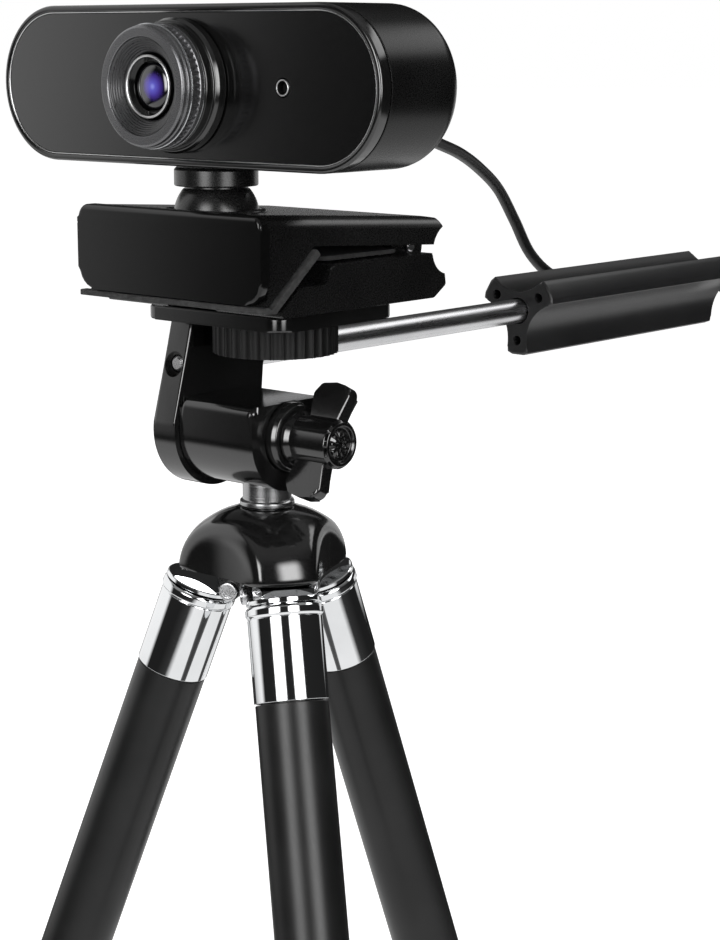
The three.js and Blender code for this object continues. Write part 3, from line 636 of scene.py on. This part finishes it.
def add_leg(n, azimuth):
    radial = Matrix.Rotation(azimuth, 4, "Z")
    along = radial @ Matrix.Translation(LEG_TOP) @ Matrix.Rotation(-SPLAY, 4, "Y")
    piece(f"leg_end_{n}", leg_end(), f"leg_{n}", CHROME, "chrome", f"leg_cap_{n}", place=radial)
    collar = lathe([(6.9, -20), (7.9, -20, 0.15), (7.9, -2.6, 0.1), (7.75, -2.4, 0.1), (7.9, -2.2, 0.1),
                    (8.2, -1.9, 0.4), (8.2, -0.6, 0.5), (7.8, 0, 0.3), (6.9, 0)], closed=True)
    piece(f"collar_{n}", collar, f"leg_{n}", CHROME, "chrome", f"leg_collar_{n}", place=along)
    upper = lathe([(5.6, -1.5), (6.6, -1.5), (6.6, -20.3), (7.55, -20.3), (7.7, -20.45), (7.7, -149.8),
                   (7.5, -150), (6.55, -150), (6.55, -22), (5.6, -22)], closed=True)
    piece(f"upper_tube_{n}", upper, f"leg_{n}", TUBE, "black_tube", f"leg_tube_{n}", place=along)
    bush = lathe([(6.5, -150.3), (7.9, -150.3, 0.2), (8, -151, 0.3), (8, -156.5, 0.5), (7.4, -157.5, 0.3),
                  (6.5, -157.5)], closed=True, steps=180, shape=teeth(30, 0.25, -156.2, -151.4))
    piece(f"bush_{n}", bush, f"leg_{n}", SATIN, "satin_black", f"leg_bush_{n}", place=along)
    middle_tube = lathe([(5.2, -30), (6.2, -30), (6.2, -157.8), (7.2, -157.8, 0.3), (7.2, -161.2, 0.3),
                         (5.2, -161.2)], closed=True)
    piece(f"middle_tube_{n}", middle_tube, f"leg_{n}_mid", DRAWN, "tube_metal", f"mid_tube_{n}", place=along)
    lower = lathe([(0, -167.5), (4.9, -167.5), (4.9, -42.2), (4.7, -42), (4.1, -42), (4.1, -166.5),
                   (0, -166.5)])
    piece(f"lower_tube_{n}", lower, f"leg_{n}_low", DRAWN, "tube_metal", f"low_tube_{n}", place=along)
    piece(f"foot_{n}", leg_foot(), f"leg_{n}_low", RUBBER, "rubber", f"leg_foot_{n}", place=along)


add_crown()
for leg_number, leg_azimuth in enumerate(LEG_AZIMUTHS, 1):
    add_leg(leg_number, leg_azimuth)

# ---------------------------------------------------------------- head


def add_neck():
    column = lathe([(0, 4.2), (4, 4.2), (4, 13.9), (5.7, 13.9, 0.2), (5.9, 14.2, 0.2), (5.9, 15, 0.2),
                    (5.6, 15.3, 0.1), (5.25, 15.4, 0.1), (5.25, 25.7), (0, 25.7)])
    piece("neck", column, "head", NECK, "steel", "neck_column")


def add_tilt_block():
    side = arc(0, TILT_Z, 11.6, 0, -180, 48) + [(-11.6, 36.9, 2), (11.6, 36.9, 2)]
    body = cut(
        prism(side, "x", -14.5, 6.8, 1.5, 5),
        rod(5.55, "z", 0, 0, 0, 26),
        rod(7.8, "x", 0, TILT_Z, 5.8, 30, 96),
        rod(2.8, "x", 0, TILT_Z, -30, 30),
    )
    piece("tilt_housing", soften(body, 0.2, 2), "head", GLOSS, "gloss_black", "tilt_block")
    washer = lathe([(2.8, 6.1), (7.1, 6.1, 0.2), (7.4, 6.6, 0.3), (7.4, 8.2, 0.5), (6.9, 9.2, 0.4),
                    (2.8, 9.2)], "x", (0, TILT_Z), closed=True)
    piece("washer", washer, "head", GLOSS, "gloss_black", "knob_washer")


def add_knob():
    boss = lathe([(0, 18.5), (2.8, 18.5), (2.8, 9.5), (5.9, 9.5, 0.2), (5.8, 10.3, 0.3), (5.2, 11.3, 0.6),
                  (5.2, 20.8, 0.5), (4.6, 21.5, 0.3), (3.9, 21.5, 0.2), (3.6, 20.6, 0.2), (3.0, 20.6, 0.1),
                  (2.7, 21.2, 0.2), (1.6, 21.2, 0.2), (1.4, 20.6, 0.1), (0, 20.6)], "x", steps=144,
                 shape=teeth(9, 0.9, 20.9, 21.25))
    blade = [(11.6, 2.6), (19.6, 2.6), (20.8, 12, 2.0), (16.5, 12.7, 1.5), (12.6, 12.2, 1.3), (11.1, 10, 1.3)]
    lean = 0.47  # of the wings from upright
    wings = []
    for turn in (0, math.pi):
        wing = prism(blade, "y", -1.7, 1.7, 0.8, 5)
        wing.data.transform(Matrix.Rotation(turn - lean, 4, "X"))
        wings.append(wing)
    knob = join(boss, *wings)
    up = Matrix.Translation((0, 0, TILT_Z))
    piece("wing_knob", knob, "knob", GLOSS, "gloss_black", "lock_knob", place=up)


def add_bracket():
    side = [(-6.6, 55.2)] + arc(0.2, TILT_Z, 13.1, 171.4, 368.6, 60) + [(16.4, 55.2)]
    plate = prism(box(-21.3, 18.3, -15.1, 21.2, 3.5), "z", 53.8, 56.8, 0.5, 4)
    body = cut(
        join(prism(side, "x", -21.3, -14.8, 0.6, 4), plate),
        rod(3.6, "z", 0, SCREW_Y, 40, 70),
        rod(2.8, "x", 0, TILT_Z, -30, 0),
        rod(4.7, "x", 0, TILT_Z, -30, -18.9),
        rod(2.0, "y", ARM_X, ROD_Z, -30, 30),
        rod(2.7, "y", ARM_X, ROD_Z, -30, -8.4),
    )
    piece("bracket_arm", soften(body, 0.2, 2), "bracket", GLOSS, "gloss_black", "tilt_bracket")
    bolt = lathe([(0, -20.6), (1.6, -20.6), (2, -21), (3.8, -21), (4.2, -20.8), (4.4, -20.4), (4.4, -19.2),
                  (2.5, -19.2), (2.5, 18.2), (0, 18.2)], "x", (0, TILT_Z))
    piece("bolt", bolt, "bracket", STEEL, "steel", "tilt_bolt")
    pad = cut(prism(box(-19.3, 16.3, -13.1, 19.2, 3), "z", 57.1, 57.8, 0.15, 2),
              rod(4.2, "z", 0, SCREW_Y, 40, 70))
    piece("pad_on_platform", pad, "bracket", RUBBER, "rubber", "platform_pad")


def add_handle():
    bar = lathe([(0, -8.9), (1.2, -8.9), (1.7, -8.4), (1.7, 15.4), (2.7, 15.4), (3.1, 15.8), (3.1, 150),
                 (0, 150)], "y", (ARM_X, ROD_Z))
    piece("bar", bar, "handle", STEEL, "steel", "handle_rod")
    section = []
    reach, side = 11.25, 0.3  # where a lobe's tip starts, from the axis and to each side of its middle
    far_end, slant = 205, 0.27
    lobes = [math.radians(30 + 120 * i) for i in range(3)]
    for lobe in lobes:
        tip = [(reach, -side), (11.5, -side / 2), (11.5, side / 2), (reach, side)]
        section += [polar(r, lobe + t) for r, t in tip]
        a = Vector(polar(reach, lobe + side))
        b = Vector(polar(1.5, lobe + math.radians(60)))
        c = Vector(polar(reach, lobe + math.radians(120) - side))
        for t in [k / 14 for k in range(1, 14)]:
            section.append(tuple((1 - t) ** 2 * a + 2 * t * (1 - t) * b + t ** 2 * c))
    section = [(ARM_X + a, ROD_Z + b) for a, b in section]
    body = prism(section, "y", 112.5, far_end, 0.8, 4)
    holes = [rod(1.2, "y", ARM_X + 7.6 * math.cos(t), ROD_Z + 7.6 * math.sin(t), 100, 125, 32) for t in lobes]
    bore = rod(3.4, "y", ARM_X, ROD_Z, 100, 150.4)
    grip = cut(body, bore, *holes)
    for vertex in grip.data.vertices:  # the far end is cut on a slant
        if vertex.co.y > far_end - 1:
            vertex.co.y -= slant * (ROD_Z + 6 - vertex.co.z)
    piece("grip", soften(grip, 0.2, 2), "handle", GRIP, "grip_grey", "handle_grip")


def add_wheel():
    count, crest, depth = 36, 13.38, 0.45  # of the flutes
    rim = []
    for i in range(count * 12):
        turn = 2 * math.pi * i / (count * 12)
        r = crest - depth * abs(math.sin(turn * count / 2)) ** 0.7
        rim.append((r * math.cos(turn), SCREW_Y + r * math.sin(turn)))
    wheel = cut(prism(rim, "z", 46.7, 53.4, 0.35, 2), rod(3.4, "z", 0, SCREW_Y, 40, 60),
                lathe([(0, 46), (10.6, 46), (10.2, 47.9), (0, 47.9)], at=(0, SCREW_Y)))
    piece("thumbwheel", wheel, "wheel", FLUTED, "satin_black", "mount_wheel")
    profile = [(0, 46), (2.6, 46), (3.1, 46.5), (3.1, 57)]
    for k in range(5):
        z = 57 + 1.27 * k
        profile += [(2.55, z + 0.6), (3.1, z + 1.2)]
    profile += [(2.5, 64.8), (0, 64.8)]
    piece("camera_screw", lathe(profile, at=(0, SCREW_Y), steps=64), "wheel", STEEL, "steel", "mount_screw")


add_neck()
add_tilt_block()
add_knob()
add_bracket()
add_handle()
add_wheel()

# ---------------------------------------------------------------- clip


def knuckle(low, high):
    return rod(4.6, "x", *HINGE, low, high, 72)


def add_jaw():
    side = [(-21.9, 58.1, 0.5), (-21.7, 59.4, 0.6), (-16.4, 63.7, 0.8), (-8, 63.8, 1.2), (-7.2, 67.4, 1.2),
            (25, 67.6)]
    side += arc(*HINGE, HINGE_BACK, 185.5, 262, 20) + [(29.5, 60.6, 0.8), (25.6, 58.1, 1.5)]
    web = prism([(24, 63), (30.2, 63), (30.2, 68.1), (24, 68.1)], "x", -6.7, 6.7)
    body = cut(
        join(prism(side, "x", -25, 25, 0.4, 3), web, knuckle(-6.7, 6.7)),
        prism(box(-7, 7, -40, -14, 1.5), "z", 50, 70),
        rod(5.5, "z", 0, SCREW_Y, 50, 66),
        rod(HINGE_HOLE, "x", *HINGE, -40, 40),
    )
    piece("jaw", soften(body, 0.15, 2), "bracket", SATIN, "satin_black", "clip_jaw")
    pad = prism(box(-21, 21, -5, 18.5, 1.5), "z", 67.9, 68.8, 0.2, 2)
    piece("pad_on_jaw", pad, "bracket", RUBBER, "rubber", "jaw_pad")
    insert = lathe([(3.4, 58.4), (5.2, 58.4), (5.2, 65.4), (3.4, 65.4)], at=(0, SCREW_Y), closed=True)
    piece("insert", insert, "bracket", BRASS, "brass", "thread_insert")
    pin = lathe([(0, -14.9), (1, -14.9), (1.2, -14.7), (1.2, 14.7), (1, 14.9), (0, 14.9)], "x", HINGE)
    piece("hinge_pin", pin, "bracket", STEEL, "steel", "clip_pin")


def add_clip_top():
    front_y, slope = -25.9, 0.0634  # the top falls towards the hinge
    side = [(front_y, 60.7), (-12.4, 71.7)] + arc(*HINGE, HINGE_BACK, 165.5, 110, 16)
    side += [(27.7, 74.8), (24.6, 75.3), (front_y, 78.5, 1.4)]
    web = [(24.5, 68.1), (30.2, 68.1), (30.2, 73), (24.5, 73)]
    sides = ((-14, -7), (7, 14))
    others = [prism(web, "x", *ends) for ends in sides] + [knuckle(*ends) for ends in sides]
    outline = prism([(-25.2, 50), (25.2, 50), (25.2, 78.5, 3.2), (-25.2, 78.5, 3.2)], "y", front_y, 36)
    for vertex in outline.data.vertices:
        vertex.co.z -= slope * (vertex.co.y - front_y)
    body = cut(
        combine("INTERSECT", join(prism(side, "x", -25.2, 25.2), *others), [outline]),
        rod(10.5, "z", 0, BALL[0], 72.5, 90, 96),
        rod(HINGE_HOLE, "x", *HINGE, -40, 40),
    )
    piece("clip_top", soften(body, 0.15, 2), "clip_upper", SATIN, "satin_black", "clip_plate")
    front = prism([(-26.2, 61.1, 4.5), (26.2, 61.1, 4.5), (26.2, 78.6, 2.8), (-26.2, 78.6, 2.8)], "y",
                  -28.8, -26.2, 0.8, 4)
    side = prism([(-28.8, 60), (-26.2, 60), (-26.2, 78.6), (-28.8, 78.6, 2.5)], "x", -30, 30)
    groove = prism([(-30, 74.6), (-28.7, 74.6), (-28.7, 74.85), (-30, 74.85)], "x", -30, 30)
    lip = cut(combine("INTERSECT", front, [side]), groove)
    piece("lip", lip, "clip_upper", LIP, "gloss_black", "clip_lip")
    flap = prism([(-28.4, 59.6), (-24.5, 59.4), (-11.6, 70), (-12.55, 71.2), (-25.9, 60.3), (-26.4, 60.8),
                  (-28.4, 60.8)], "x", -26.3, 26.3)
    piece("flap", soften(flap, 0.2, 2), "clip_upper", RUBBER, "rubber", "lip_pad")
    ring = lathe([(8.4, 72.8), (10.2, 72.8, 0.2), (10.2, 77.9, 0.5), (9.1, 78, 0.3), (9.05, 77), (9.08, 76),
                  (8.9, 74.4)], at=(0, BALL[0]), closed=True)
    piece("seat_ring", ring, "seat", SATIN, "satin_black", "swivel_seat")


add_jaw()
add_clip_top()

# ---------------------------------------------------------------- webcam


def add_shell():
    rings = [(2.4, -2.2), (2.4, -21.4), (2.3, -21.5), (0.3, -21.5), (0.08, -21.4), (0, -21.2)]
    for t in [math.radians(9 * k) for k in range(11)]:
        rings.append((5 * (1 - math.cos(t)), -4.2 + 5 * math.sin(t)))
    shell = pill(rings)
    piece("shell", shell, "webcam", SHELL, "satin_black", "rear_shell")
    rim = pill([(0, -22.0), (0, -24.0), (0.1, -24.3), (0.3, -24.52), (0.6, -24.6), (1.0, -24.6),
                (1.25, -24.45), (1.3, -24.2), (1.3, -21.8), (0.2, -21.8), (0.05, -21.85)], closed=True)
    piece("bezel", rim, "webcam", GLOSS, "gloss_black", "front_bezel")
    trim = pill([(1.32, -24.0), (1.32, -24.3), (1.42, -24.42), (1.56, -24.3), (1.56, -24.0)], closed=True)
    piece("bezel_line", trim, "webcam", TRIM, "ring_grey")
    face = pill([(1.6, -21.8), (1.6, -24.05), (1.7, -24.2)])
    face = cut(face, rod(8.3, "y", 0, CAM_Z, -30, -20), rod(1.9, "y", MIC_X, CAM_Z, -30, -20))
    piece("face", face, "webcam", PANEL, "gloss_black", "face_panel")
    mic = lathe([(1.34, -23.9), (1.6, -23.9), (1.6, -24.45, 0.1), (1.34, -24.45, 0.1)], "y", (MIC_X, CAM_Z),
                closed=True)
    piece("mic_rim", mic, "webcam", TRIM, "ring_grey", "mic_ring")
    cup = lathe([(0, -22.65), (1.6, -22.65), (1.6, -23.85), (1.32, -23.85), (1.32, -24.3), (1.25, -24.3),
                 (1.2, -22.9), (0, -22.9)], "y", (MIC_X, CAM_Z), steps=48)
    piece("mic_mesh", cup, "webcam", FLUTED, "rubber")


def add_stem():
    profile = [(0, 76)]
    for above in [-0.5 + 0.4 * k for k in range(16)]:
        profile.append((math.sqrt(BALL_R ** 2 - above ** 2), BALL[1] + above))
    profile += [(6.5, 82.2, 0.2), (6.5, 82.7, 0.1), (8.6, 82.7, 0.3), (8.6, 86, 0.4), (8.1, 86.5, 0.2)]
    piece("stem", lathe(profile + [(0, 86.5)], at=(0, BALL[0])), "webcam", SATIN, "gloss_black", "ball_stem")


def add_lens():
    base = lathe([(7.2, -16.5), (8, -16.5), (8, -24.5), (13.3, -24.5, 0.15), (13.3, -26.3, 0.4),
                  (12.8, -27, 0.3), (12.3, -27, 0.1), (12.3, -28.9, 0.2), (7.2, -28.9)], "y", (0, CAM_Z),
                 closed=True)
    piece("lens_seat", base, "webcam", GLOSS, "gloss_black", "lens_base")
    knurl = lathe([(11.0, -29.2), (12.0, -29.2), (12.2, -29.35), (12.2, -30.3), (12.05, -30.4),
                   (12.15, -30.5), (12.15, -32.4), (12.0, -32.5), (11.0, -32.5)], "y", (0, CAM_Z),
                  closed=True, steps=480, shape=teeth(60, 0.5, -32.41, -30.49))
    piece("focus_knurl", knurl, "focus", LENS_GREY, "ring_grey", "focus_ring")
    band = lathe([(11.0, -32.6), (12.0, -32.6, 0.15), (12.0, -33.4, 0.3), (11.75, -33.6, 0.1),
                  (11.7, -34.4, 0.2), (11.3, -34.7, 0.2), (9.7, -34.7, 0.15), (9.5, -34.4), (9.5, -32.6)],
                 "y", (0, CAM_Z), closed=True)
    piece("focus_front", band, "focus", LENS_GREY, "ring_grey")
    for n, y in enumerate((-29.15, -32.4)):
        line = lathe([(11.4, y), (12.1, y), (12.2, y - 0.1), (12.1, y - 0.22), (11.4, y - 0.22)], "y",
                     (0, CAM_Z), closed=True)
        piece(f"focus_line_{n}", line, "focus", LENS_BRIGHT, "ring_grey")
    steps = [(9.45, -34.35), (9.2, -34.2)]
    for k in range(6):
        r = 9.1 - 0.4 * k
        steps += [(r, -34.0 + 0.32 * k), (r - 0.3, -33.9 + 0.32 * k)]
    cone = lathe(steps + [(6.5, -31.9), (6.5, -29.3), (9.45, -29.3)], "y", (0, CAM_Z), closed=True)
    piece("focus_cone", cone, "focus", LENS_DARK, "ring_grey")
    cell = lathe([(3.6, -17.2), (6.2, -17.2), (6.2, -32.5), (5.6, -32.5), (4.9, -31.8, 0.2), (4.9, -30.4),
                  (3.6, -30.4)], "y", (0, CAM_Z), closed=True)
    piece("lens_barrel", cell, "webcam", LIP, "ring_grey")
    ring = lathe([(5.7, -32.55), (6.2, -32.55), (6.2, -32.95, 0.15), (5.95, -33.1, 0.15), (5.7, -32.95, 0.1)],
                 "y", (0, CAM_Z), closed=True)
    piece("inner_ring", ring, "webcam", TRIM, "ring_grey", "lens_cell")
    turns = [math.radians(7.5 * k) for k in range(12)]
    dome = [(4.6 * math.cos(t), -31.2 - 1.3 * math.sin(t)) for t in turns]
    glass = lathe([(0, -30.7), (4.6, -30.7)] + dome + [(0, -32.5)], "y", (0, CAM_Z))
    piece("front_glass", glass, "webcam", GLASS, "lens_glass", "lens_glass")


def add_relief():
    profile = [(0, -4.5), (3.6, -4.5), (3.6, -2.5), (2.1, -2.5), (2.1, 1.1)]
    profile += [(3.2, 1.1, 0.2), (3.2, 2.6, 0.3)]
    for k in range(5):
        y = 3.4 + 1.9 * k
        r = 2.95 - 0.19 * k
        profile += [(r - 0.45, y), (r, y + 0.25), (r - 0.05, y + 1.15), (r - 0.5, y + 1.4)]
    profile += [(1.75, 13.2), (1.55, 13.5), (0, 13.5)]
    piece("relief", lathe(profile, "y", (0, CORD_Z), steps=48), "webcam", RUBBER, "rubber", "strain_relief")


add_shell()
add_stem()
add_lens()
add_relief()

# Frame nodes that keep their own shape, out of sight inside the crown and the webcam.
for node, material in (("crown_core", SATIN), ("circuit_board", BOARD), ("image_sensor", SATIN)):
    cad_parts[node].data.materials.clear()
    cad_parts[node].data.materials.append(material)

# ---------------------------------------------------------------- floor and light


def add_floor():
    place = (AXIS.x, AXIS.y, -0.0003)  # just under the feet
    bpy.ops.mesh.primitive_circle_add(vertices=96, radius=12, fill_type="NGON", location=place)
    ground = bpy.context.object
    ground.name = "floor"
    made, tree, shader = nodes_of("floor_white")
    shader.inputs["Roughness"].default_value = 0.6
    shader.inputs["Specular IOR Level"].default_value = 0.2
    tone = ramp(tree, noise(tree, coordinates(tree), 3), [(0.3, grey(0.55)), (0.7, grey(0.58))])
    tree.links.new(tone, shader.inputs["Base Color"])
    shader.inputs["Emission Color"].default_value = (1, 1, 1, 1)
    shader.inputs["Emission Strength"].default_value = 0.95
    ground.data.materials.append(made)
    ground.visible_glossy = False
    ground.visible_diffuse = False


def soft_edges(tree, fade):
    """A factor that falls to nothing at a card's edges, within a share of its width and height."""
    where = tree.nodes.new("ShaderNodeTexCoord")
    parts = tree.nodes.new("ShaderNodeSeparateXYZ")
    tree.links.new(where.outputs["Generated"], parts.inputs["Vector"])
    factors = []
    for axis in ("X", "Y"):
        near = tree.nodes.new("ShaderNodeMath")
        near.operation = "PINGPONG"
        near.inputs[1].default_value = 0.5
        tree.links.new(parts.outputs[axis], near.inputs[0])
        edge = tree.nodes.new("ShaderNodeMapRange")
        edge.interpolation_type = "SMOOTHSTEP"
        edge.inputs["From Min"].default_value = 0.0
        edge.inputs["From Max"].default_value = fade
        tree.links.new(near.outputs["Value"], edge.inputs["Value"])
        factors.append(edge.outputs["Result"])
    return times(tree, *factors)


def softbox(name, bearing, elevation, width, height, strength, fade=0.25, distance=900):
    """A card of light with soft edges, unseen by the camera; its bearing is from the camera, rightwards."""
    bpy.ops.mesh.primitive_plane_add(size=1)
    card = bpy.context.object
    card.name = name
    turn = AZIMUTH + math.radians(bearing)
    rise = math.radians(elevation)
    towards = Vector((math.sin(turn) * math.cos(rise), -math.cos(turn) * math.cos(rise), math.sin(rise)))
    card.location = row(*(Vector((0, 0, 60)) + distance * towards))
    card.rotation_euler = (-towards).to_track_quat("Z", "Y").to_euler()
    card.scale = (width, height, 1)
    made = bpy.data.materials.new(name)
    made.use_nodes = True
    tree = made.node_tree
    tree.nodes.clear()
    out = tree.nodes.new("ShaderNodeOutputMaterial")
    light = tree.nodes.new("ShaderNodeEmission")
    tree.links.new(times(tree, soft_edges(tree, fade), strength), light.inputs["Strength"])
    tree.links.new(light.outputs["Emission"], out.inputs["Surface"])
    card.data.materials.append(made)
    card.visible_camera = False
    card.visible_shadow = False


def add_world():
    world = bpy.data.worlds.new("studio")
    bpy.context.scene.world = world
    world.use_nodes = True
    tree = world.node_tree
    seen = tree.nodes.new("ShaderNodeLightPath")
    mix = tree.nodes.new("ShaderNodeMix")
    mix.data_type = "RGBA"
    where = tree.nodes.new("ShaderNodeTexCoord")
    parts = tree.nodes.new("ShaderNodeSeparateXYZ")
    tree.links.new(where.outputs["Generated"], parts.inputs["Vector"])
    up = tree.nodes.new("ShaderNodeMapRange")
    up.inputs["From Min"].default_value = -1
    tree.links.new(parts.outputs["Z"], up.inputs["Value"])
    tones = [(0.28, 0.95), (0.32, 0.04), (0.4, 0.015), (0.75, 0.02), (0.9, 0.25)]
    sky = ramp(tree, up.outputs["Result"], [(at, grey(tone)) for at, tone in tones])
    tree.links.new(sky, mix.inputs["A"])
    mix.inputs["B"].default_value = (1, 1, 1, 1)
    tree.links.new(seen.outputs["Is Camera Ray"], mix.inputs["Factor"])
    tree.links.new(mix.outputs["Result"], tree.nodes["Background"].inputs["Color"])


add_floor()
add_world()
softbox("wall_left", -125, 15, 1.8, 1.5, 1.0, 0.21)
softbox("box_front_left", -28, 13, 0.6, 0.88, 8, 0.33)
softbox("box_front_right", 32, 13, 0.62, 0.88, 8, 0.33)
softbox("wall_back", 165, -5, 1.3, 0.3, 0.85, 0.12)
softbox("box_back_high", 118, 37, 0.8, 0.3, 2.2)
bpy.context.scene.view_settings.view_transform = "Standard"
